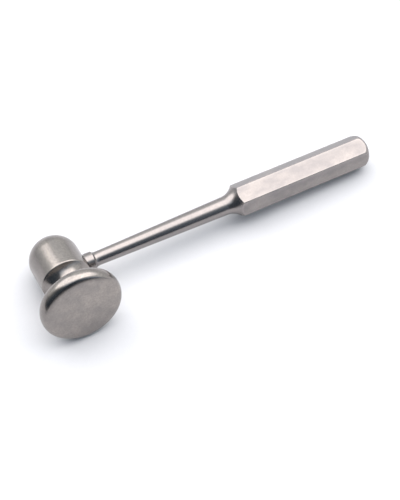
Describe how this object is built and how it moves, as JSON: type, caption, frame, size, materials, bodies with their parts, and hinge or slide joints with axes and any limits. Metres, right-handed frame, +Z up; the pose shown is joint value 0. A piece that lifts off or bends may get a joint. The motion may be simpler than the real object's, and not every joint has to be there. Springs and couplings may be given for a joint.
{
  "type": "surgical mallet",
  "caption": "Steel surgical mallet with a round striking disc, a domed bell behind it and a slim turned handle that widens into a hexagonal grip.",
  "frame": {"origin": "on the surface the mallet lies on, at the middle of its footprint's bounding box", "axes": "+Z up; +X from the head to the end of the grip, along the handle as seen from above; the striking face looks towards -Y and a little up"},
  "size_m": [0.21, 0.0562, 0.0437],
  "materials": {
    "head_steel": "fine satin, glass-bead blasted over turning marks",
    "handle_steel": "satin, fine turning marks on the shaft and a blasted grain on the flats",
    "collar_steel": "satin, turned",
    "fastener_steel": "bright machined"
  },
  "bodies": {
    "root": {"head": "head_steel", "collar": "collar_steel", "handle": "handle_steel", "stud": "fastener_steel", "lock_pin": "fastener_steel"}
  },
  "joints": []
}
